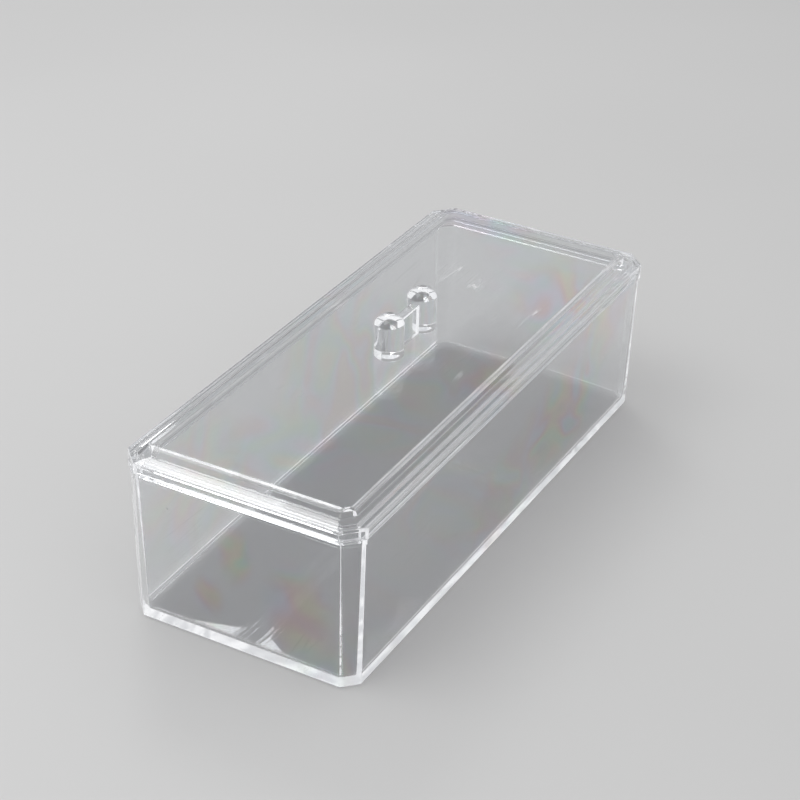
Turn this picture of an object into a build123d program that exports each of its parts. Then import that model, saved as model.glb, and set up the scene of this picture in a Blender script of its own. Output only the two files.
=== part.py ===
from build123d import *
from math import radians, sqrt, tan
import os

# A long, low keepsake and make-up box moulded in clear, colourless plastic.
# It has three mouldings: an open tray, a lift-off lid with a raised panel, and a grip of two
# round posts joined by a web, which stands in the middle of the lid.
# The origin is the middle of the tray's underside, X runs along the box and Z points up.
# All sizes are in millimetres and all drafts are in degrees.

# Tray, measured over its rim, with its wall measured at the mouth
tray_length = 239.6
tray_width = 97.2
tray_height = 63.0
tray_corner_cut = 6.7
tray_wall = 2.3
tray_floor = 3.4
tray_draft = 1.1
cavity_draft = 2.1
rim_overhang = 0.6
rim_height = 2.2
foot_bevel = 1.2
floor_fillet = 2.0

# Lid
lid_overhang = 0.2
lid_corner_cut = 7.5
lid_wall = 2.2
skirt_height = 4.3
skirt_round = 0.5
ledge_width = 6.5
ledge_fall = 0.6
panel_rise = 3.8
riser_draft = 12.0
panel_bevel = 1.3
panel_corner_cut = 4.6
locating_rib_depth = 3.0
locating_rib_wall = 1.6
locating_rib_clearance = 0.5

# Grip
post_diameter = 11.4
post_pitch = 25.4
post_height = 17.2
dome_height = 3.8
web_thickness = 3.8
web_height = 12.2
web_edge_round = 0.6
peg_diameter = 5.0
peg_clearance = 0.05

# How much shorter a 45 degree corner cut gets for each millimetre that an outline moves inward
cut_loss = 2 - sqrt(2)


def cut_corner_rectangle(length, width, cut, mode=Mode.ADD):
    """Draws a rectangle with its corners cut at 45 degrees in the open sketch."""
    x, y = length / 2, width / 2
    corners = [
        (x, y - cut),
        (x - cut, y),
        (cut - x, y),
        (-x, y - cut),
        (-x, cut - y),
        (cut - x, -y),
        (x - cut, -y),
        (x, cut - y),
    ]
    Polygon(*corners, align=None, mode=mode)


def tray_outline(inset, mode=Mode.ADD):
    """Draws the rim's outline, moved inward by inset on every side."""
    cut_corner_rectangle(
        tray_length - 2 * inset,
        tray_width - 2 * inset,
        tray_corner_cut - cut_loss * inset,
        mode,
    )


def lid_outline(inset):
    """Draws the lid's outline, moved inward by inset on every side."""
    cut_corner_rectangle(
        tray_length + 2 * (lid_overhang - inset),
        tray_width + 2 * (lid_overhang - inset),
        lid_corner_cut - cut_loss * inset,
    )


# Heights above the table
rim_underside = tray_height - rim_height
skirt_underside = tray_height
ledge_top = tray_height + skirt_height
ledge_underside = ledge_top - lid_wall
riser_foot = ledge_top + ledge_fall
panel_top = ledge_top + panel_rise
panel_underside = panel_top - lid_wall
rib_underside = skirt_underside - locating_rib_depth

# The tray's walls lean outward as they rise, so that it leaves its mould. Inside they lean more,
# so that they thicken towards the floor.
foot_inset = rim_overhang + rim_underside * tan(radians(tray_draft))
mouth_inset = rim_overhang + tray_wall
cavity_height = tray_height - tray_floor
cavity_inset = mouth_inset + cavity_height * tan(radians(cavity_draft))

with BuildPart() as tray:
    with BuildSketch(Plane.XY):
        tray_outline(foot_inset)
    extrude(amount=rim_underside, taper=-tray_draft)
    chamfer(tray.faces().sort_by(Axis.Z)[0].edges(), foot_bevel)
    with BuildSketch(Plane.XY.offset(rim_underside)):
        tray_outline(0)
    extrude(amount=rim_height)
    with BuildSketch(Plane.XY.offset(tray_floor)):
        tray_outline(cavity_inset)
    extrude(amount=cavity_height, taper=-cavity_draft, mode=Mode.SUBTRACT)
    inner_floor = tray.faces().filter_by(Plane.XY).sort_by(Axis.Z)[1]
    fillet(inner_floor.edges(), floor_fillet)

tray.part.label = "tray"

# The rib under the lid drops inside the tray's mouth, and clears the wall at the rib's lower end
rib_inset = mouth_inset + locating_rib_depth * tan(radians(cavity_draft)) + locating_rib_clearance
panel_length = tray_length + 2 * (lid_overhang - ledge_width)
panel_width = tray_width + 2 * (lid_overhang - ledge_width)
recess_corner_cut = panel_corner_cut - cut_loss * lid_wall

# The grip's posts stand in the middle of the lid, in line with it
post_places = [(-post_pitch / 2, 0), (post_pitch / 2, 0)]
peg_radius = peg_diameter / 2

with BuildPart() as lid:
    with BuildSketch(Plane.XY.offset(skirt_underside)):
        lid_outline(0)
    extrude(amount=riser_foot - skirt_underside)

    # The ledge falls from the riser's foot to the skirt's rounded upper edge
    plateau = lid.faces().sort_by(Axis.Z)[-1]
    chamfer(plateau.edges(), length=ledge_width, length2=ledge_fall, reference=plateau)
    skirt_edge = lid.edges().filter_by(Plane.XY).group_by(Axis.Z)[1]
    fillet(skirt_edge, skirt_round)

    # Raised panel: drafted risers and a bevelled top edge, with its corners cut upright
    with BuildSketch(Plane.XY.offset(riser_foot)):
        Rectangle(panel_length, panel_width)
    extrude(amount=panel_top - riser_foot, taper=riser_draft)
    chamfer(lid.faces().sort_by(Axis.Z)[-1].edges(), panel_bevel)
    with BuildSketch(Plane.XY.offset(riser_foot)):
        Rectangle(panel_length, panel_width)
        cut_corner_rectangle(panel_length, panel_width, panel_corner_cut, Mode.SUBTRACT)
    extrude(amount=panel_top - riser_foot, mode=Mode.SUBTRACT)

    # Underside: hollow skirt, locating rib and the recess below the raised panel
    with BuildSketch(Plane.XY.offset(skirt_underside)):
        lid_outline(lid_wall)
    extrude(amount=ledge_underside - skirt_underside, mode=Mode.SUBTRACT)
    with BuildSketch(Plane.XY.offset(rib_underside)):
        tray_outline(rib_inset)
        tray_outline(rib_inset + locating_rib_wall, Mode.SUBTRACT)
    extrude(amount=ledge_underside - rib_underside)
    with BuildSketch(Plane.XY.offset(ledge_underside)):
        cut_corner_rectangle(
            panel_length - 2 * lid_wall, panel_width - 2 * lid_wall, recess_corner_cut
        )
    extrude(amount=panel_underside - ledge_underside, taper=riser_draft, mode=Mode.SUBTRACT)

    # Holes for the grip's pegs
    with BuildSketch(Plane.XY.offset(panel_underside)):
        with Locations(*post_places):
            Circle(peg_radius + peg_clearance)
    extrude(amount=lid_wall, mode=Mode.SUBTRACT)

lid.part.label = "lid"

# Each post is turned about its own axis, with a shallow dome above its shoulder
post_radius = post_diameter / 2
shoulder = post_height - dome_height
dome_radius = (post_radius**2 + dome_height**2) / (2 * dome_height)

with BuildPart() as handle:
    with BuildSketch(Plane.XY.offset(panel_top)):
        Rectangle(post_pitch, web_thickness)
    extrude(amount=web_height)
    fillet(handle.faces().sort_by(Axis.Z)[-1].edges().filter_by(Axis.X), web_edge_round)
    for x, y in post_places:
        post_foot = (x, y, panel_top)
        with BuildSketch(Plane(origin=post_foot, x_dir=(1, 0, 0), z_dir=(0, -1, 0))):
            with BuildLine():
                Polyline(
                    (0, post_height),
                    (0, -lid_wall),
                    (peg_radius, -lid_wall),
                    (peg_radius, 0),
                    (post_radius, 0),
                    (post_radius, shoulder),
                )
                RadiusArc((post_radius, shoulder), (0, post_height), -dome_radius)
            make_face()
        revolve(axis=Axis(post_foot, (0, 0, 1)))

handle.part.label = "handle"

os.makedirs("parts", exist_ok=True)
export_step(tray.part, "parts/tray.step")
export_step(lid.part, "parts/lid.step")
export_step(handle.part, "parts/handle.step")
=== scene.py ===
"""Looks of a long, low make-up box moulded in clear, colourless plastic.

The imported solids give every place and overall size. The tray, the lid and the grip are drawn again
as finer shells with eased edges, so that the plastic bends light at its edges as a real moulding
does. All lengths are in metres.
"""

import logging
import math
from dataclasses import dataclass, field
from enum import Enum, IntEnum
from functools import reduce
from typing import Sequence, Union

import bmesh
import bpy
import numpy as np
from mathutils import Matrix, Vector
from mathutils.geometry import delaunay_2d_cdt


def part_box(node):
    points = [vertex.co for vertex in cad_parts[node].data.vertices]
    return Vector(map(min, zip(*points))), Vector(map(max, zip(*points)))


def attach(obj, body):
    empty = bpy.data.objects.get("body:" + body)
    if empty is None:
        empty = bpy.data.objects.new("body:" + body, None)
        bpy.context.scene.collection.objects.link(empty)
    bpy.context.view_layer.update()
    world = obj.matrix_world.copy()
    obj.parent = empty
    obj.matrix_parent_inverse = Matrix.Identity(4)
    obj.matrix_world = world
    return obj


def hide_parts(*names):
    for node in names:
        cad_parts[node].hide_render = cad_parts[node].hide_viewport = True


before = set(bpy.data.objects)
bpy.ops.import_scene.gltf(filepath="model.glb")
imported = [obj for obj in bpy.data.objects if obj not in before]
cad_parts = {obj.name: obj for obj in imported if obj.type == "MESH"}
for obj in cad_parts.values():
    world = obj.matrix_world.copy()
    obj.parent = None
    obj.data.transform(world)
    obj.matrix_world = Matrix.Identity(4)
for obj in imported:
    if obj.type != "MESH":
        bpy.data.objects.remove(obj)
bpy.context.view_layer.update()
log = logging.getLogger("make_up_box")

MM = 0.001

# A plan with cut corners has eight sides, each turned by an eighth from the one before
SIDES = 8
EIGHTH_TURN = math.tau / SIDES

# Longest side of a shell's faces, and how near a cap's inner points may come to its rim
FACE_SIDE = 5.0 * MM
CAP_GAP = 0.6 * FACE_SIDE

# What the triangulation gives back, and how near two points may lie before it merges them
TRIANGLES_INSIDE = 2
CAP_TOLERANCE = 1e-8

Array = np.ndarray
Number = Union[int, float]
Colour = tuple[float, float, float, float]
Place = tuple[float, float, float]
Pair = tuple[float, float]
Socket = bpy.types.NodeSocket


class Slot(Enum):
    """Material slots of the record; no piece here takes its finish from them."""

    TRAY = "tray_clear"
    LID = "lid_clear"
    GRIP = "handle_clear"


class Body(Enum):
    """Bodies that the pieces ride on."""

    TRAY = "tray"
    LID = "lid"


class Apart(IntEnum):
    """Steps from a material's seed that keep its noises apart."""

    HUE = 3
    STRESS_PATCH = 5
    SCRATCH_PATCH = 7
    GLOW = 9


@dataclass(frozen=True)
class Shell:
    """A mesh in the making: points and faces."""

    points: Array
    faces: list[tuple[int, ...]]

    @classmethod
    def of_rings(cls, rings: Array) -> "Shell":
        """Joins closed rings of points into a tube that is open at both ends."""
        return cls(rings.reshape(-1, 3), grid_faces(*rings.shape[:2]))

    def joined(self, other: "Shell") -> "Shell":
        """Puts another shell's points and faces after this one's.

        Args:
            other: The shell to add.

        Returns:
            Both shells as one, with nothing merged.
        """
        shift = len(self.points)
        moved = [tuple(index + shift for index in face) for face in other.faces]
        return Shell(np.vstack([self.points, other.points]), self.faces + moved)

    def mesh_object(self, name: str, sharp_from: float = math.radians(80)) -> bpy.types.Object:
        """Makes a smooth shaded object whose flat faces stay flat.

        A point's normal is the sum of its faces' normals, each times the face's area, so a broad
        flat face outweighs the narrow eased edge beside it.

        Args:
            name: The piece's name.
            sharp_from: Edges that turn by more than this stay sharp.

        Returns:
            The new object, linked to the scene.
        """
        mesh = bpy.data.meshes.new(name)
        mesh.from_pydata(self.points.tolist(), [], self.faces)
        mesh.validate()
        Weld(mesh).merge_and_turn_out()
        mesh.shade_smooth()
        mesh.set_sharp_from_angle(angle=sharp_from)
        obj = bpy.data.objects.new(name, mesh)
        bpy.context.scene.collection.objects.link(obj)
        normals = obj.modifiers.new("flat faces stay flat", "WEIGHTED_NORMAL")
        normals.mode = "FACE_AREA"
        normals.weight = 100
        normals.keep_sharp = True
        return obj


@dataclass(frozen=True)
class Weld:
    """Merges a mesh's doubled points and turns its faces outward."""

    mesh: bpy.types.Mesh
    distance: float = 0.002 * MM

    def merge_and_turn_out(self) -> None:
        """Runs both steps on the mesh in place."""
        work = bmesh.new()
        work.from_mesh(self.mesh)
        bmesh.ops.remove_doubles(work, verts=work.verts, dist=self.distance)
        bmesh.ops.dissolve_degenerate(work, dist=self.distance, edges=work.edges)
        bmesh.ops.recalc_face_normals(work, faces=work.faces)
        work.to_mesh(self.mesh)
        work.free()
        self.mesh.update()


def eased(corners: Sequence[Sequence[float]], easing: Sequence[float], steps: int = 4) -> Array:
    """Rounds the corners of a profile of any dimension.

    Each inner corner P gives way to a parabola from A, which lies its easing back along the side
    before it, to C, the same distance along the side after it:
    (1 - s)^2 A + 2 s (1 - s) P + s^2 C, for s from 0 to 1.

    Args:
        corners: The profile's corners in order, one row each.
        easing: How far from each corner its rounding begins, ends included.
        steps: How many sides each rounding has.

    Returns:
        The profile's points, one row each.
    """
    rows = np.asarray(corners, float)
    reach = np.asarray(easing, float)[1:-1, None]
    inner = rows[1:-1]
    back = rows[:-2] - inner
    ahead = rows[2:] - inner
    start = (inner + reach * back / np.linalg.norm(back, axis=1, keepdims=True))[:, None]
    stop = (inner + reach * ahead / np.linalg.norm(ahead, axis=1, keepdims=True))[:, None]
    s = np.linspace(0, 1, steps + 1)[None, :, None]
    curve = (1 - s) ** 2 * start + 2 * s * (1 - s) * inner[:, None] + s**2 * stop
    return np.vstack([rows[:1], curve.reshape(-1, rows.shape[1]), rows[-1:]])


def divided(points: Array, parts: Array) -> Array:
    """Cuts each stretch of a polyline into equal parts.

    Args:
        points: The polyline's points along the first axis.
        parts: How many parts each stretch gets.

    Returns:
        The finer polyline.
    """
    start = np.repeat(np.arange(len(parts)), parts)
    place = np.arange(len(start)) - np.repeat(np.cumsum(parts) - parts, parts)
    share = (place / np.repeat(parts, parts)).reshape(-1, *[1] * (points.ndim - 1))
    finer = points[start] + share * (points[start + 1] - points[start])
    return np.concatenate([finer, points[-1:]])


def without_long_stretches(points: Array) -> Array:
    """Cuts each stretch of an open polyline so that none is longer than a face's side."""
    lengths = np.linalg.norm(np.diff(points, axis=0), axis=1)
    return divided(points, np.ceil(lengths / FACE_SIDE).astype(int).clip(min=1))


def grid_faces(rows: int, columns: int) -> list[tuple[int, ...]]:
    """Lists the four-sided faces of a grid whose columns close into rings.

    Args:
        rows: Number of rings.
        columns: Points in each ring.

    Returns:
        Faces between each ring and the next.
    """
    row, column = np.meshgrid(np.arange(rows - 1), np.arange(columns), indexing="ij")
    after = (column + 1) % columns
    here = row * columns
    above = here + columns
    quads = np.stack([here + column, here + after, above + after, above + column], axis=-1)
    return [tuple(quad) for quad in quads.reshape(-1, 4).tolist()]


@dataclass(frozen=True)
class CutCornerPlan:
    """Plan of a rectangle whose four corners are cut at 45 degrees.

    Its eight sides face 0, 45, 90 ... 315 degrees. A side facing angle a is the line of points p
    with p . (cos a, sin a) = h, where h is the side's distance from the middle.
    """

    half_length: float
    half_width: float
    cut: float

    @property
    def diagonal(self) -> float:
        """Distance of the four cut sides from the middle."""
        return (self.half_length + self.half_width - self.cut) / math.sqrt(2)

    @property
    def parts(self) -> Array:
        """How many parts each side is cut into, so that none is longer than a face's side.

        Returns:
            A count for each side, from the one that faces 0 degrees.
        """
        short = 2 * (self.half_width - self.cut)
        long = 2 * (self.half_length - self.cut)
        spans = np.array([short, self.cut, long, self.cut] * 2)
        return np.ceil(spans / FACE_SIDE).astype(int)

    def carried(self, profile: Array, corner_radius: float, steps: int = 5) -> Array:
        """Carries a profile round the plan.

        Two neighbouring sides at distances h and k, facing a and a + 45 degrees, meet at
        (h (sin(a+45), -cos(a+45)) + k (-sin a, cos a)) / sin 45. An arc of the corner radius
        rounds that corner: its middle lies radius / cos 22.5 back along the corner's bisector.

        Args:
            profile: Rows of inset of the long and short sides, inset of the cut sides, height.
            corner_radius: Radius of the eight upright edges.
            steps: Sides of each rounded edge.

        Returns:
            Points as rings, one ring for each row of the profile.
        """
        number = np.arange(SIDES)
        facing = number * EIGHTH_TURN
        side, cut_side, height = profile.T
        straight = np.array([self.half_length, 0, self.half_width, 0] * 2)
        distance = np.where(
            number % 2 == 0, straight - side[:, None], self.diagonal - cut_side[:, None]
        )
        following = np.roll(distance, -1, axis=1)
        turned = facing + EIGHTH_TURN
        scale = math.sin(EIGHTH_TURN)
        corner_x = (distance * np.sin(turned) - following * np.sin(facing)) / scale
        corner_y = (following * np.cos(facing) - distance * np.cos(turned)) / scale
        bisector = facing + EIGHTH_TURN / 2
        back = corner_radius / math.cos(EIGHTH_TURN / 2)
        sweep = facing[:, None] + np.linspace(0, EIGHTH_TURN, steps + 1)[None, :]
        x = (corner_x - back * np.cos(bisector))[:, :, None] + corner_radius * np.cos(sweep)
        y = (corner_y - back * np.sin(bisector))[:, :, None] + corner_radius * np.sin(sweep)
        z = np.broadcast_to(height[:, None, None], x.shape)
        columns = np.stack([x, y, z], axis=-1).reshape(len(height), -1, 3).transpose(1, 0, 2)
        parts = np.ones((SIDES, steps + 1), int)
        parts[:, steps] = np.roll(self.parts, -1)
        closed = np.concatenate([columns, columns[:1]])
        return divided(closed, parts.ravel())[:-1].transpose(1, 0, 2)


def circle(middle: Pair, radius: float, height: float, count: int = 48) -> Array:
    """Gives points on a level circle: middle + radius (cos t, sin t) at one height.

    Args:
        middle: Its middle, along and across the box.
        radius: Its radius.
        height: Its height.
        count: How many points it has.

    Returns:
        The points, one row each.
    """
    t = np.linspace(0, math.tau, count, endpoint=False)
    x = middle[0] + radius * np.cos(t)
    y = middle[1] + radius * np.sin(t)
    return np.stack([x, y, np.full(count, height)], axis=-1)


def cap(outline: Array, holes: Sequence[Array] = ()) -> Shell:
    """Fills a level outline with even triangles, leaving round holes open.

    The points inside stand on a square grid, (i s, j s) for whole i and j, where s is the side of a
    face. Those closer to a rim than the cap's gap are left out, and triangles join the others.

    Args:
        outline: Points of the outline.
        holes: Points of each hole.

    Returns:
        The filled face.
    """
    loops = [outline, *holes]
    rim = np.vstack(loops)
    edges: list[tuple[int, int]] = []
    for loop in loops:
        index = np.arange(len(loop)) + len(edges)
        edges += zip(index.tolist(), np.roll(index, -1).tolist())
    counts = ((np.abs(outline).max(axis=0) - CAP_GAP) / FACE_SIDE).astype(int)
    x, y = (np.arange(-count, count + 1) * FACE_SIDE for count in counts[:2])
    inner = np.stack(np.meshgrid(x, y), axis=-1).reshape(-1, 2)
    apart = np.linalg.norm(inner[:, None] - rim[None, :, :2], axis=-1).min(axis=1)
    flat = [Vector(point) for point in np.vstack([rim[:, :2], inner[apart > CAP_GAP]]).tolist()]
    found = delaunay_2d_cdt(flat, edges, [], TRIANGLES_INSIDE, CAP_TOLERANCE)
    points = np.array([[*point, outline[0, 2]] for point in found[0]])
    faces = np.array(found[2])

    # The triangulation fills the holes as well, so their triangles come out again
    middles = points[faces].mean(axis=1)
    for hole in holes:
        centre = hole.mean(axis=0)
        outside = np.linalg.norm(middles - centre, axis=1) > np.linalg.norm(hole[0] - centre)
        faces, middles = faces[outside], middles[outside]
    return Shell(points, [tuple(face) for face in faces.tolist()])


@dataclass(frozen=True)
class Nodes:
    """Builds the nodes of one material or of the world."""

    tree: bpy.types.NodeTree

    @classmethod
    def of(cls, owner: Union[bpy.types.Material, bpy.types.World]) -> "Nodes":
        """Empties the nodes of a material or world and wraps them.

        Args:
            owner: The material or world.

        Returns:
            Its nodes, ready to be built.
        """
        owner.use_nodes = True
        owner.node_tree.nodes.clear()
        return cls(owner.node_tree)

    def node(self, kind: str, settings: dict | None = None, **sockets: object) -> bpy.types.Node:
        """Adds one node.

        Args:
            kind: The node's type, without the words ShaderNode.
            settings: Its properties, set before its sockets. A ramp's stops go under "stops".
            sockets: Value or link of each socket, with underscores for spaces. A name that starts
                with i and a number is the socket's place.

        Returns:
            The new node.
        """
        made = self.tree.nodes.new("ShaderNode" + kind)
        for key, value in (settings or {}).items():
            if key == "stops":
                self.set_stops(made.color_ramp, value)
            else:
                setattr(made, key, value)
        for key, value in sockets.items():
            by_place = key[0] == "i" and key[1:].isdigit()
            name = int(key[1:]) if by_place else key.replace("_", " ")
            self.feed(made.inputs[name], value)
        return made

    def feed(self, socket: Socket, value: object) -> None:
        """Links or sets one socket.

        Args:
            socket: The socket to feed.
            value: A Signal, a socket of another node, or a plain value.
        """
        if isinstance(value, Signal):
            value = value.socket
        if isinstance(value, Socket):
            self.tree.links.new(value, socket)
        else:
            socket.default_value = value

    @staticmethod
    def set_stops(ramp: bpy.types.ColorRamp, stops: Sequence[tuple[float, Colour]]) -> None:
        """Gives a ramp its stops, each a place and a colour.

        Args:
            ramp: The ramp, with fewer stops than it is to have.
            stops: The stops in order.
        """
        while len(ramp.elements) < len(stops):
            ramp.elements.new(1.0)
        for element, (place, colour) in zip(ramp.elements, stops):
            element.position = place
            element.color = colour

    def signal(self, socket: Socket) -> "Signal":
        """Wraps a socket so that arithmetic works on it."""
        return Signal(self, socket)

    def noise(self, place: Socket, seed: float, scale: float, **sockets: float) -> "Signal":
        """Adds a noise.

        Args:
            place: Where on the object the noise is read.
            seed: Noises with different seeds differ.
            scale: How fine the noise is.
            sockets: Values of its other sockets.

        Returns:
            The noise, about 0.5 on average.
        """
        settings = {"noise_dimensions": "4D"}
        made = self.node("TexNoise", settings, Vector=place, W=seed, Scale=scale, **sockets)
        return self.signal(made.outputs[0])

    def blended(self, share: object, first: object, second: object) -> Socket:
        """Mixes two colours.

        Args:
            share: The second colour's share.
            first: Colour that shows at a share of 0.
            second: Colour that shows at a share of 1.

        Returns:
            The mixed colour.
        """
        made = self.node("Mix", {"data_type": "RGBA"}, i0=share, i6=first, i7=second)
        return made.outputs[2]

    def mixed(self, share: object, first: Socket, second: Socket) -> Socket:
        """Mixes two shaders.

        Args:
            share: The second shader's share.
            first: Shader that shows at a share of 0.
            second: Shader that shows at a share of 1.

        Returns:
            The mixed shader.
        """
        return self.node("MixShader", None, i0=share, i1=first, i2=second).outputs[0]


@dataclass(frozen=True, eq=False)
class Signal:
    """A number that varies over a surface. Arithmetic on it adds Math nodes."""

    nodes: Nodes
    socket: Socket

    def maths(self, operation: str, *values: Union["Signal", Number]) -> "Signal":
        """Adds a Math node.

        Args:
            operation: The node's operation.
            values: Its inputs in order.

        Returns:
            The node's result.
        """
        node = self.nodes.node("Math", {"operation": operation})
        for socket, value in zip(node.inputs, values):
            self.nodes.feed(socket, value)
        return Signal(self.nodes, node.outputs[0])

    def __add__(self, other: Union["Signal", Number]) -> "Signal":
        """Sum."""
        return self.maths("ADD", self, other)

    __radd__ = __add__

    def __mul__(self, other: Union["Signal", Number]) -> "Signal":
        """Product."""
        return self.maths("MULTIPLY", self, other)

    __rmul__ = __mul__

    def __sub__(self, other: Union["Signal", Number]) -> "Signal":
        """Difference."""
        return self.maths("SUBTRACT", self, other)

    def __rsub__(self, other: Union["Signal", Number]) -> "Signal":
        """Difference with the signal on the right."""
        return self.maths("SUBTRACT", other, self)

    def __abs__(self) -> "Signal":
        """Size without sign."""
        return self.maths("ABSOLUTE", self)

    def __gt__(self, other: Union["Signal", Number]) -> "Signal":
        """One where the signal is larger, otherwise nought."""
        return self.maths("GREATER_THAN", self, other)

    def fraction(self) -> "Signal":
        """What is left above the whole number below."""
        return self.maths("FRACT", self)

    def larger(self, other: Union["Signal", Number]) -> "Signal":
        """The larger of two signals."""
        return self.maths("MAXIMUM", self, other)

    def smaller(self, other: Union["Signal", Number]) -> "Signal":
        """The smaller of two signals."""
        return self.maths("MINIMUM", self, other)

    def between(self, low: float, high: float, smooth: bool = True) -> "Signal":
        """Rises from 0 at low to 1 at high, and stays in that range.

        Args:
            low: Signal that gives 0.
            high: Signal that gives 1.
            smooth: Whether the rise eases in and out.

        Returns:
            The risen signal.
        """
        settings = {"interpolation_type": "SMOOTHSTEP" if smooth else "LINEAR", "clamp": True}
        node = self.nodes.node("MapRange", settings, Value=self, From_Min=low, From_Max=high)
        return Signal(self.nodes, node.outputs[0])


@dataclass(frozen=True)
class Scratches:
    """Fine straight scratches in a few directions, kept to patches."""

    share: float = 0.12
    angles: tuple[float, ...] = (24.0, 71.0, 138.0)
    stretch: Place = (5.0, 160.0, 40.0)
    line: Pair = (0.0015, 0.006)
    patch: Pair = (0.58, 0.7)
    patch_scale: float = 34.0
    roughness: float = 0.22
    depth: float = 0.3
    scatter: float = 0.7

    def drawn(self, nodes: Nodes, place: Socket, seed: float) -> Signal:
        """Draws the scratches.

        Noise stretched along one direction gives long bands, and the thin line where it crosses its
        middle value is a scratch. A broad noise keeps them to patches.

        Args:
            nodes: The material's nodes.
            place: Object coordinates.
            seed: The material's seed.

        Returns:
            The share on a scratch and 0 beside it.
        """
        settings = {"vector_type": "POINT"}
        lines = []
        for number, angle in enumerate(self.angles):
            turn = (0.0, 0.0, math.radians(angle))
            turned = nodes.node("Mapping", settings, Vector=place, Rotation=turn, Scale=self.stretch)
            band = nodes.noise(turned.outputs[0], seed + number, 1.0, Detail=0.0)
            lines.append(1 - abs(band - 0.5).between(*self.line))
        patch = nodes.noise(place, seed + Apart.SCRATCH_PATCH, self.patch_scale, Detail=2.0)
        return reduce(Signal.larger, lines) * patch.between(*self.patch) * self.share


@dataclass(frozen=True)
class Specks:
    """Small specks of dust, one in some cells of a Voronoi pattern."""

    scale: float = 120.0
    edge: Pair = (0.02, 0.045)
    bare_cells: float = 0.5
    colour: Colour = (0.55, 0.55, 0.56, 1)
    cover: float = 0.5
    roughness: float = 0.5
    scatter: float = 0.8

    def drawn(self, nodes: Nodes, place: Socket, seed: float) -> Signal:
        """Scatters the specks.

        Args:
            nodes: The material's nodes.
            place: Object coordinates.
            seed: The material's seed.

        Returns:
            1 on a speck and 0 beside it.
        """
        settings = {"voronoi_dimensions": "4D"}
        cells = nodes.node("TexVoronoi", settings, Vector=place, W=seed, Scale=self.scale)
        channels = nodes.node("SeparateColor", None, Color=cells.outputs["Color"])
        chosen = nodes.signal(channels.outputs[0]) > self.bare_cells
        near = 1 - nodes.signal(cells.outputs["Distance"]).between(*self.edge)
        return near * chosen


@dataclass(frozen=True)
class StressColours:
    """Faint rainbow bands that moulding stress leaves, in patches and in strained spots."""

    share: float = 0.2
    patch: Pair = (0.52, 0.68)
    patch_scale: float = 16.0
    spots: tuple[tuple[Place, Place], ...] = ()
    spot_share: float = 0.42
    spot_edge: Pair = (0.3, 1.0)
    hue_scale: float = 38.0
    hue_warp: float = 0.8
    hue_range: Pair = (0.3, 0.7)
    hue_turns: float = 1.5
    hue_outward: float = 0.35
    hues: tuple[tuple[float, Colour], ...] = (
        (0.0, (1.0, 0.93, 0.50, 1)),
        (0.22, (1.0, 0.55, 0.52, 1)),
        (0.42, (0.90, 0.76, 1.0, 1)),
        (0.6, (0.62, 0.90, 1.0, 1)),
        (0.8, (0.60, 1.0, 0.62, 1)),
        (1.0, (1.0, 0.93, 0.50, 1)),
    )

    def over(self, tint: Colour, nodes: Nodes, place: Socket, seed: float) -> Socket:
        """Colours a tint with the bands.

        Args:
            tint: The plastic's own colour.
            nodes: The material's nodes.
            place: Object coordinates.
            seed: The material's seed.

        Returns:
            The surface colour.
        """
        warp = {"Detail": 1.0, "Distortion": self.hue_warp}
        wander = nodes.noise(place, seed + Apart.HUE, self.hue_scale, **warp)
        hue = wander.between(*self.hue_range, smooth=False)
        patch = nodes.noise(place, seed + Apart.STRESS_PATCH, self.patch_scale, Detail=0.0)
        share = patch.between(*self.patch) * self.share
        if self.spots:
            away = self.away_from_spots(nodes, place)
            share = share.larger((1 - away.between(*self.spot_edge)) * self.spot_share)
            hue = (away * self.hue_outward + hue * self.hue_turns).fraction()
        bands = nodes.node("ValToRGB", {"stops": self.hues}, Fac=hue)
        return nodes.blended(share, tint, bands.outputs[0])

    def away_from_spots(self, nodes: Nodes, place: Socket) -> Signal:
        """Measures how far a point is from the nearest strained spot, in that spot's radii.

        Args:
            nodes: The material's nodes.
            place: Object coordinates.

        Returns:
            0 in the middle of a spot and 1 at its edge.
        """
        settings = {"vector_type": "POINT"}
        measured = []
        for middle, radii in self.spots:
            scale = tuple(1 / radius for radius in radii)
            shift = tuple(-along / radius for along, radius in zip(middle, radii))
            inside = nodes.node("Mapping", settings, Vector=place, Location=shift, Scale=scale)
            length = nodes.node("VectorMath", {"operation": "LENGTH"}, i0=inside.outputs[0])
            measured.append(nodes.signal(length.outputs["Value"]))
        return reduce(Signal.smaller, measured)


@dataclass(frozen=True)
class PaintedInnerGlow:
    """Light that stays inside the plastic until an edge lets it out.

    A ray that has bounced inside the plastic often enough meets this soft white glow, painted light
    from an emission, which stands for all the further bounces.
    """

    after: int = 11
    strength: float = 1.0
    dim: Colour = (0.72, 0.73, 0.75, 1)
    bright: Colour = (0.98, 0.985, 1, 1)
    patch: Pair = (0.4, 0.62)
    patch_scale: float = 90.0

    def glow(self, nodes: Nodes, place: Socket, seed: float) -> Socket:
        """Builds the glow, which is brighter in some places than in others.

        Args:
            nodes: The material's nodes.
            place: Object coordinates.
            seed: The material's seed.

        Returns:
            The glow's shader.
        """
        uneven = nodes.noise(place, seed + Apart.GLOW, self.patch_scale, Detail=1.0)
        # Painted light: two emissions, dim and bright, mixed by noise, standing for light carried
        # inside the plastic
        dim = nodes.node("Emission", None, Color=self.dim, Strength=self.strength)
        bright = nodes.node("Emission", None, Color=self.bright, Strength=self.strength)
        return nodes.mixed(uneven.between(*self.patch), dim.outputs[0], bright.outputs[0])


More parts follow.
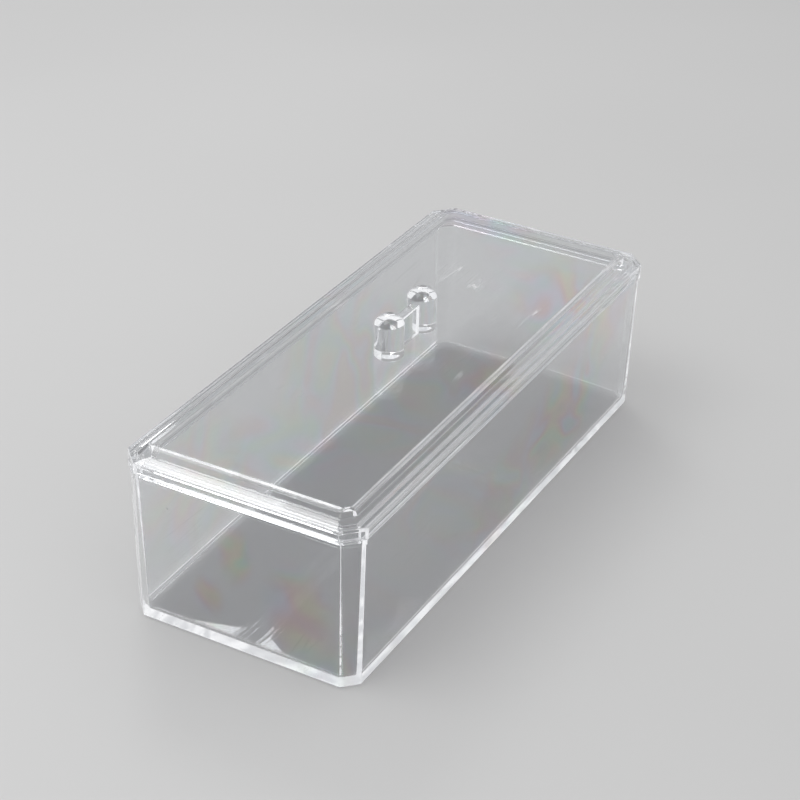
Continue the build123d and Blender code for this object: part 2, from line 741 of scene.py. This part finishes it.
@dataclass(frozen=True)
class ClearPlastic:
    """Polished, colourless moulded plastic with slight signs of handling."""

    name: str
    seed: float
    scratches: Scratches = Scratches()
    specks: Specks = Specks()
    stress: StressColours = StressColours()
    painted_glow: PaintedInnerGlow = PaintedInnerGlow()
    tint: Colour = (0.945, 0.953, 0.962, 1)
    lamp_tint: Colour = (0.8, 0.8, 0.805, 1)
    scattered: Colour = (0.9, 0.9, 0.91, 1)
    refraction: float = 1.5
    polish: float = 0.012
    ripple_height: float = 0.004 * MM
    ripple_scale: float = 45.0
    detail_depth: int = 5

    def material(self) -> bpy.types.Material:
        """Builds the material.

        What the camera sees first has every detail, and what it sees through many surfaces is plain;
        a ray that stays inside longer ends on a painted glow, an emission.
        Lamps and soft light pass straight through, so that they light the inside.

        Returns:
            A see-through material with moulding stress colours, fine scratches, specks and ripples.
        """
        material = bpy.data.materials.new(self.name)
        nodes = Nodes.of(material)
        place = nodes.node("TexCoord").outputs["Object"]
        path = nodes.node("LightPath").outputs
        depth = nodes.signal(path["Ray Depth"])
        plain = self.glass(nodes, Base_Color=self.tint, Roughness=self.polish)
        # Painted light: deep rays end on an emission glow, not on the glass
        glow = self.painted_glow.glow(nodes, place, self.seed)
        deep = nodes.mixed(depth > self.painted_glow.after, plain, glow)
        detailed = self.detailed(nodes, place)
        by_depth = nodes.mixed(depth > self.detail_depth, detailed, deep)
        met = nodes.mixed(path["Is Camera Ray"], by_depth, detailed)
        clear = nodes.node("BsdfTransparent", None, Color=self.lamp_tint).outputs[0]
        lit = nodes.mixed(path["Is Diffuse Ray"], met, clear)
        whole = nodes.mixed(path["Is Shadow Ray"], lit, clear)
        nodes.node("OutputMaterial", None, Surface=whole)
        return material

    def glass(self, nodes: Nodes, **sockets: object) -> Socket:
        """Builds a see-through shader, given the sockets that differ."""
        common = {"IOR": self.refraction, "Transmission_Weight": 1.0}
        return nodes.node("BsdfPrincipled", None, **common, **sockets).outputs[0]

    def detailed(self, nodes: Nodes, place: Socket) -> Socket:
        """Builds the plastic with its stress colours, scratches, specks and ripples.

        Args:
            nodes: The material's nodes.
            place: Object coordinates.

        Returns:
            The detailed shader.
        """
        scratches = self.scratches.drawn(nodes, place, self.seed)
        specks = self.specks.drawn(nodes, place, self.seed)
        polished = self.polish + scratches * self.scratches.roughness
        rough = polished + specks * self.specks.roughness
        ripple = nodes.noise(place, self.seed, self.ripple_scale, Detail=1.0)
        height = ripple - scratches * self.scratches.depth
        bump = nodes.node("Bump", None, Strength=1.0, Distance=self.ripple_height, Height=height)
        tinted = self.stress.over(self.tint, nodes, place, self.seed)
        dusty = nodes.blended(specks * self.specks.cover, tinted, self.specks.colour)
        surface = self.glass(nodes, Base_Color=dusty, Roughness=rough, Normal=bump.outputs[0])
        scattered = nodes.node("BsdfDiffuse", None, Color=self.scattered).outputs[0]
        share = scratches * self.scratches.scatter + specks * self.specks.scatter
        return nodes.mixed(share, surface, scattered)


def dressed(piece: bpy.types.Object, plastic: ClearPlastic) -> bpy.types.Object:
    """Gives a piece its plastic."""
    piece.data.materials.append(plastic.material())
    return piece


@dataclass
class Tray:
    """The open box with drafted walls and a thickened rim."""

    wall: float = 2.3 * MM
    floor: float = 3.4 * MM
    draft: float = math.radians(1.1)
    cavity_draft: float = math.radians(2.1)
    rim_overhang: float = 0.6 * MM
    rim_height: float = 2.2 * MM
    corner_cut: float = 6.7 * MM
    foot_bevel: float = 1.2 * MM
    floor_easing: float = 2.0 * MM
    edge_easing: float = 0.3 * MM
    rim_easing: float = 0.21 * MM
    upright_radius: float = 0.6 * MM
    cap_margin: float = 2.5 * MM
    plan: CutCornerPlan = field(init=False)
    height: float = field(init=False)

    def __post_init__(self) -> None:
        """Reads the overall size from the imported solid."""
        low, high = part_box("tray")
        self.plan = CutCornerPlan(high.x, high.y, self.corner_cut)
        self.height = high.z - low.z

    def cavity_inset(self, height: float) -> float:
        """Gives how far inside the rim's outline the cavity's wall stands at a height."""
        return self.rim_overhang + self.wall + (self.height - height) * math.tan(self.cavity_draft)

    def profile(self) -> Array:
        """Gives the section from the underside, up the outside, over the rim and down the inside.

        Returns:
            Rows of inset of the long and short sides, inset of the cut sides, height.
        """
        lean = math.tan(self.draft)
        rim_under = self.height - self.rim_height
        foot = self.rim_overhang + rim_under * lean
        inside_foot = self.cavity_inset(self.floor)
        edge = self.edge_easing
        rows = [
            (foot + self.cap_margin, 0, 0),
            (foot + self.foot_bevel, 0, edge),
            (foot - self.foot_bevel * lean, self.foot_bevel, edge),
            (self.rim_overhang, rim_under, self.rim_easing),
            (0, rim_under, self.rim_easing),
            (0, self.height, edge),
            (self.cavity_inset(self.height), self.height, edge),
            (inside_foot, self.floor, self.floor_easing),
            (inside_foot + self.cap_margin, self.floor, 0),
        ]
        corners = [(inset, inset, height) for inset, height, _ in rows]
        return without_long_stretches(eased(corners, [reach for _, _, reach in rows]))

    def stress_spots(self) -> tuple[tuple[Place, Place], ...]:
        """Places the strained spots: three in the front wall, one in the back, one in a side.

        Returns:
            Each spot's middle and its radii.
        """
        front = -self.plan.half_length
        back = self.plan.half_length
        side = -self.plan.half_width
        return (
            ((front, 0.013, 0.020), (0.03, 0.008, 0.011)),
            ((front, 0.001, 0.041), (0.03, 0.009, 0.016)),
            ((front, -0.024, 0.026), (0.03, 0.018, 0.026)),
            ((back, -0.012, 0.034), (0.03, 0.028, 0.026)),
            ((0.045, side, 0.030), (0.050, 0.03, 0.028)),
        )

    def build(self) -> bpy.types.Object:
        """Makes the tray's shell, closed under its floor and over it.

        Returns:
            The tray.
        """
        rings = self.plan.carried(self.profile(), self.upright_radius)
        shell = Shell.of_rings(rings)
        for ring in (rings[0], rings[-1]):
            shell = shell.joined(cap(ring))
        stress = StressColours(spots=self.stress_spots())
        plastic = ClearPlastic("clear plastic of the tray", 1.0, stress=stress)
        piece = dressed(shell.mesh_object("clear_tray"), plastic)
        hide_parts("tray")
        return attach(piece, Body.TRAY.value)


@dataclass
class Lid:
    """The lift-off lid with a skirt, a ledge, a raised panel and a locating rib."""

    tray: Tray
    wall: float = 2.2 * MM
    skirt_height: float = 4.3 * MM
    ledge_width: float = 6.5 * MM
    ledge_fall: float = 0.6 * MM
    panel_rise: float = 3.8 * MM
    riser_draft: float = math.radians(12)
    panel_bevel: float = 1.3 * MM
    corner_cut: float = 7.5 * MM
    panel_corner_cut: float = 4.6 * MM
    rib_wall: float = 1.6 * MM
    rib_clearance: float = 0.5 * MM
    peg_hole_radius: float = 2.55 * MM
    post_pitch: float = 25.4 * MM
    seat_gap: float = 0.04 * MM
    edge_easing: float = 0.3 * MM
    skirt_easing: float = 0.5 * MM
    upright_radius: float = 0.35 * MM
    cap_margin: float = 0.5 * MM
    sharp_from: float = math.radians(50)
    plan: CutCornerPlan = field(init=False)
    top: float = field(init=False)
    rib_underside: float = field(init=False)

    def __post_init__(self) -> None:
        """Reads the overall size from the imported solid."""
        low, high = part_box("lid")
        self.plan = CutCornerPlan(high.x, high.y, self.corner_cut)
        self.top = high.z
        self.rib_underside = low.z

    def cut_inset(self, inset: float, cut: float) -> float:
        """Gives how far inside the lid's own cut sides a smaller plan has its cut sides.

        Args:
            inset: Inset of the smaller plan's long and short sides.
            cut: Its corner cut.

        Returns:
            The inset of its cut sides.
        """
        inner = CutCornerPlan(self.plan.half_length - inset, self.plan.half_width - inset, cut)
        return self.plan.diagonal - inner.diagonal

    def profile(self) -> Array:
        """Gives the section from the panel's top, out over the skirt and back in underneath.

        Returns:
            Rows of inset of the long and short sides, inset of the cut sides, height.
        """
        ledge_top = self.top - self.panel_rise
        ledge_under = ledge_top - self.wall
        skirt_under = ledge_top - self.skirt_height + self.seat_gap
        panel_under = self.top - self.wall
        lean = math.tan(self.riser_draft)
        riser = self.panel_rise - self.ledge_fall
        bevel_foot = self.ledge_width + (riser - self.panel_bevel) * lean
        bevel_top = self.ledge_width + riser * lean + self.panel_bevel
        upright = self.cut_inset(self.ledge_width, self.panel_corner_cut)
        inside_mouth = self.tray.cavity_inset(self.rib_underside) + self.rib_clearance
        rib_out = inside_mouth + self.plan.half_length - self.tray.plan.half_length
        rib_cut = inside_mouth + self.plan.diagonal - self.tray.plan.diagonal
        rib_in = rib_out + self.rib_wall
        rib_cut_in = rib_cut + self.rib_wall
        recess = self.ledge_width + self.wall
        recess_cut = upright + self.wall
        recess_lean = (panel_under - ledge_under) * lean
        panel = recess + recess_lean
        panel_cut = recess_cut + recess_lean
        margin = self.cap_margin
        edge = self.edge_easing
        rows = [
            (bevel_top + margin, upright + margin, self.top, 0),
            (bevel_top, upright, self.top, edge),
            (bevel_foot, upright, self.top - self.panel_bevel, edge),
            (self.ledge_width, upright, ledge_top + self.ledge_fall, edge),
            (0, 0, ledge_top, self.skirt_easing),
            (0, 0, skirt_under, edge),
            (self.wall, self.wall, skirt_under, edge),
            (self.wall, self.wall, ledge_under, edge),
            (rib_out, rib_cut, ledge_under, edge),
            (rib_out, rib_cut, self.rib_underside, edge),
            (rib_in, rib_cut_in, self.rib_underside, edge),
            (rib_in, rib_cut_in, ledge_under, edge),
            (recess, recess_cut, ledge_under, edge),
            (panel, panel_cut, panel_under, edge),
            (panel + margin, panel_cut + margin, panel_under, 0),
        ]
        return without_long_stretches(eased([row[:3] for row in rows], [row[3] for row in rows]))

    def build(self) -> bpy.types.Object:
        """Makes the lid's shell, with two holes through its panel for the grip's pegs.

        Returns:
            The lid.
        """
        rings = self.plan.carried(self.profile(), self.upright_radius)
        shell = Shell.of_rings(rings)
        middles = [(-self.post_pitch / 2, 0.0), (self.post_pitch / 2, 0.0)]
        heights = (self.top, self.top - self.wall)
        for ring, height in zip((rings[0], rings[-1]), heights):
            holes = [circle(middle, self.peg_hole_radius, height) for middle in middles]
            shell = shell.joined(cap(ring, holes))
        for middle in middles:
            wall = [circle(middle, self.peg_hole_radius, height) for height in heights]
            shell = shell.joined(Shell.of_rings(np.stack(wall)))
        plastic = ClearPlastic("clear plastic of the lid", 2.0, scratches=Scratches(share=0.6))
        piece = dressed(shell.mesh_object("clear_lid", self.sharp_from), plastic)
        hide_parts("lid")
        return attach(piece, Body.LID.value)


@dataclass
class Grip:
    """The grip: two domed posts joined by a web, on pegs through the lid."""

    lid: Lid
    post_radius: float = 5.7 * MM
    post_height: float = 17.2 * MM
    dome_height: float = 3.8 * MM
    web_half_thickness: float = 1.9 * MM
    web_height: float = 12.2 * MM
    web_easing: float = 0.6 * MM
    peg_radius: float = 2.5 * MM
    peg_end_radius: float = 1.0 * MM
    edge_easing: float = 0.3 * MM
    inner_easing: float = 0.15 * MM
    around: int = 96
    dome_steps: int = 15
    sharp_from: float = math.radians(35)

    def section(self) -> Array:
        """Gives the post's section from its dome down to the peg's end.

        The dome is the arc of radius R = (r^2 + h^2) / 2h through the shoulder and the top, where r
        is the post's radius and h the dome's height. Point t on it stands R cos t above the arc's
        middle and R sin t from the axis.

        Returns:
            Rows of distance from the axis and height, without the top.
        """
        foot = self.lid.top + self.lid.seat_gap
        peg_end = self.lid.top - self.lid.wall
        crown = self.lid.top + self.post_height
        shoulder = crown - self.dome_height
        dome_radius = (self.post_radius**2 + self.dome_height**2) / (2 * self.dome_height)
        t = np.linspace(0, math.asin(self.post_radius / dome_radius), self.dome_steps + 1)[1:]
        dome = np.stack([dome_radius * np.sin(t), crown - dome_radius * (1 - np.cos(t))], axis=-1)
        side = eased(
            [
                (self.post_radius, shoulder),
                (self.post_radius, foot),
                (self.peg_radius, foot),
                (self.peg_radius, peg_end),
                (self.peg_end_radius, peg_end),
            ],
            [0, self.edge_easing, self.inner_easing, self.inner_easing, 0],
        )
        return np.vstack([dome, side[1:]])

    def post(self, middle: float) -> Shell:
        """Turns the post's section about its axis.

        A point of the section r from the axis and z high goes to (middle + r cos t, r sin t, z) for
        each turn t.

        Args:
            middle: The axis's place along the box.

        Returns:
            The post with its peg, closed at both ends.
        """
        turn = np.linspace(0, math.tau, self.around, endpoint=False)
        radius, height = self.section().T
        x = middle + radius[:, None] * np.cos(turn)
        y = radius[:, None] * np.sin(turn)
        z = np.broadcast_to(height[:, None], x.shape)
        wall = Shell.of_rings(np.stack([x, y, z], axis=-1))
        apex = len(wall.points)
        points = np.vstack([wall.points, [middle, 0, self.lid.top + self.post_height]])
        ring = np.arange(self.around)
        fan = np.stack([np.full(self.around, apex), ring, (ring + 1) % self.around], axis=-1)
        faces = wall.faces + [tuple(face) for face in fan.tolist()]
        faces.append(tuple(range(apex - self.around, apex)))
        return Shell(points, faces)

    def web(self) -> Shell:
        """Carries the web's section from one post's axis to the other's.

        The section is an upright rectangle with rounded upper edges. Each of its points (y, z) gives
        the points (-d, y, z) and (d, y, z), where d is half the distance between the axes.

        Returns:
            The web, closed at both ends.
        """
        foot = self.lid.top + self.lid.seat_gap
        top = self.lid.top + self.web_height
        half = self.web_half_thickness
        loop = eased(
            [(0, foot), (half, foot), (half, top), (-half, top), (-half, foot), (0, foot)],
            [0, self.inner_easing, self.web_easing, self.web_easing, self.inner_easing, 0],
        )[:-1]
        reach = self.lid.post_pitch / 2
        count = len(loop)
        ends = np.stack([np.column_stack([np.full(count, x), loop]) for x in (-reach, reach)])
        walls = Shell.of_rings(ends)
        closing = [tuple(range(count)), tuple(range(count, 2 * count))]
        return Shell(walls.points, walls.faces + closing)

    def joined(self) -> Shell:
        """Joins the posts and the web into one closed shell.

        Returns:
            The shell of the whole grip.
        """
        reach = self.lid.post_pitch / 2
        parts = [self.post(-reach), self.post(reach), self.web()]
        objects = [part.mesh_object(f"grip_part_{number}") for number, part in enumerate(parts)]
        base = objects[0]
        base.modifiers.clear()
        for other in objects[1:]:
            union = base.modifiers.new("union", "BOOLEAN")
            union.operation = "UNION"
            union.solver = "EXACT"
            union.object = other
        seen = base.evaluated_get(bpy.context.evaluated_depsgraph_get())
        mesh = bpy.data.meshes.new_from_object(seen)
        points = np.empty(len(mesh.vertices) * 3)
        mesh.vertices.foreach_get("co", points)
        faces = [tuple(polygon.vertices) for polygon in mesh.polygons]
        for old in objects:
            bpy.data.objects.remove(old)
        return Shell(points.reshape(-1, 3), faces)

    def build(self) -> bpy.types.Object:
        """Makes the grip.

        Returns:
            The grip.
        """
        plastic = ClearPlastic(
            "clear plastic of the grip",
            3.0,
            scratches=Scratches(share=0.2),
            stress=StressColours(share=0.03),
            # Painted light: the grip meets its emission glow after only three bounces, and a
            # brighter one, which paints it whiter
            painted_glow=PaintedInnerGlow(after=3, dim=(0.9, 0.91, 0.93, 1)),
            detail_depth=2,
        )
        piece = dressed(self.joined().mesh_object("clear_grip", self.sharp_from), plastic)
        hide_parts("handle")
        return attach(piece, Body.LID.value)


@dataclass(frozen=True)
class Softbox:
    """A rectangular lamp that points at one place."""

    name: str
    place: Place
    target: Place
    size: Pair
    power: float

    def hang(self) -> None:
        """Adds the lamp to the scene."""
        light = bpy.data.lights.new(self.name, "AREA")
        light.shape = "RECTANGLE"
        light.size, light.size_y = self.size
        light.energy = self.power
        lamp = bpy.data.objects.new(self.name, light)
        lamp.location = self.place
        aim = Vector(self.target) - Vector(self.place)
        lamp.rotation_euler = aim.to_track_quat("-Z", "Y").to_euler()
        bpy.context.scene.collection.objects.link(lamp)


@dataclass
class Studio:
    """Pale floor, soft lamps, pale surroundings and the camera."""

    floor_size: float = 8.0
    floor_drop: float = 0.05 * MM
    floor_colour: Colour = (0.62, 0.62, 0.62, 1)
    floor_darker: float = 0.97
    floor_roughness: float = 0.6
    mottle_scale: float = 3.0
    mottle: Pair = (0.3, 0.7)
    surround_colour: Colour = (0.42, 0.42, 0.425, 1)
    surround_light: float = 0.68
    bounces: int = 16
    lens: float = 96.3
    sensor: float = 36.0
    camera_place: Place = (-0.62644, -0.33757, 0.46644)
    yaw: float = math.radians(28.43)
    pitch: float = math.radians(30.66)
    roll: float = math.radians(1.455)
    lamps: tuple[Softbox, ...] = (
        Softbox("softbox above", (-0.42, 0.32, 1.0), (0, 0, 0.03), (0.7, 0.55), 4.0),
        Softbox("softbox behind", (0.57, 0.56, 0.87), (0, 0, 0.03), (0.26, 0.34), 1.6),
    )

    def build(self) -> None:
        """Sets up everything round the object."""
        self.floor()
        self.surroundings()
        for lamp in self.lamps:
            lamp.hang()
        self.camera()
        scene = bpy.context.scene
        scene.view_settings.view_transform = "Standard"
        scene.cycles.max_bounces = self.bounces
        scene.cycles.transmission_bounces = self.bounces
        scene.cycles.glossy_bounces = self.bounces

    def floor(self) -> None:
        """Lays a plain pale floor just under the tray."""
        half = self.floor_size / 2
        corners = [(x * half, y * half) for x, y in ((-1, -1), (1, -1), (1, 1), (-1, 1))]
        mesh = bpy.data.meshes.new("floor")
        mesh.from_pydata([(x, y, -self.floor_drop) for x, y in corners], [], [(0, 1, 2, 3)])
        floor = bpy.data.objects.new("floor", mesh)
        bpy.context.scene.collection.objects.link(floor)
        material = bpy.data.materials.new("matt studio floor")
        nodes = Nodes.of(material)
        place = nodes.node("TexCoord").outputs["Object"]
        mottle = nodes.node("TexNoise", None, Vector=place, Scale=self.mottle_scale, Detail=2.0)
        share = nodes.signal(mottle.outputs[0]).between(*self.mottle)
        red, green, blue = (self.floor_darker * channel for channel in self.floor_colour[:3])
        colour = nodes.blended(share, (red, green, blue, 1), self.floor_colour)
        sockets = {"Base_Color": colour, "Roughness": self.floor_roughness}
        surface = nodes.node("BsdfPrincipled", None, **sockets)
        nodes.node("OutputMaterial", None, Surface=surface.outputs[0])
        mesh.materials.append(material)

    def surroundings(self) -> None:
        """Gives the world one pale colour to look at, and white light at a strength of its own."""
        world = bpy.data.worlds.new("pale room")
        bpy.context.scene.world = world
        nodes = Nodes.of(world)
        light = nodes.node("Background", None, Color=(1, 1, 1, 1), Strength=self.surround_light)
        seen = nodes.node("Background", None, Color=self.surround_colour, Strength=1.0)
        path = nodes.node("LightPath").outputs
        camera = nodes.signal(path["Is Camera Ray"])
        looked_at = camera.larger(path["Is Glossy Ray"]).larger(path["Is Transmission Ray"])
        mix = nodes.mixed(looked_at, light.outputs[0], seen.outputs[0])
        nodes.node("OutputWorld", None, Surface=mix)

    def camera(self) -> None:
        """Stands the camera where the photograph was taken from.

        It looks along (cos yaw cos pitch, sin yaw cos pitch, -sin pitch), and is rolled about that.
        """
        level = math.cos(self.pitch)
        along = (math.cos(self.yaw) * level, math.sin(self.yaw) * level, -math.sin(self.pitch))
        ahead = Vector(along)
        right = Vector((math.sin(self.yaw), -math.cos(self.yaw), 0))
        up = right.cross(ahead)
        rolled_right = right * math.cos(self.roll) + up * math.sin(self.roll)
        rolled_up = up * math.cos(self.roll) - right * math.sin(self.roll)
        data = bpy.data.cameras.new("camera")
        data.sensor_width = self.sensor
        data.lens = self.lens
        camera = bpy.data.objects.new("camera", data)
        turn = Matrix((rolled_right, rolled_up, -ahead)).transposed().to_4x4()
        turn.translation = Vector(self.camera_place)
        camera.matrix_world = turn
        bpy.context.scene.collection.objects.link(camera)
        bpy.context.scene.camera = camera


def main() -> None:
    """Builds every piece in order, then the studio."""
    logging.basicConfig(level=logging.INFO, format="%(name)s: %(message)s")
    tray = Tray()
    lid = Lid(tray)
    grip = Grip(lid)
    for part in (tray, lid, grip):
        piece = part.build()
        log.info("%s has %d points", piece.name, len(piece.data.vertices))
    Studio().build()
    bpy.context.view_layer.update()


if __name__ == "__main__":
    main()
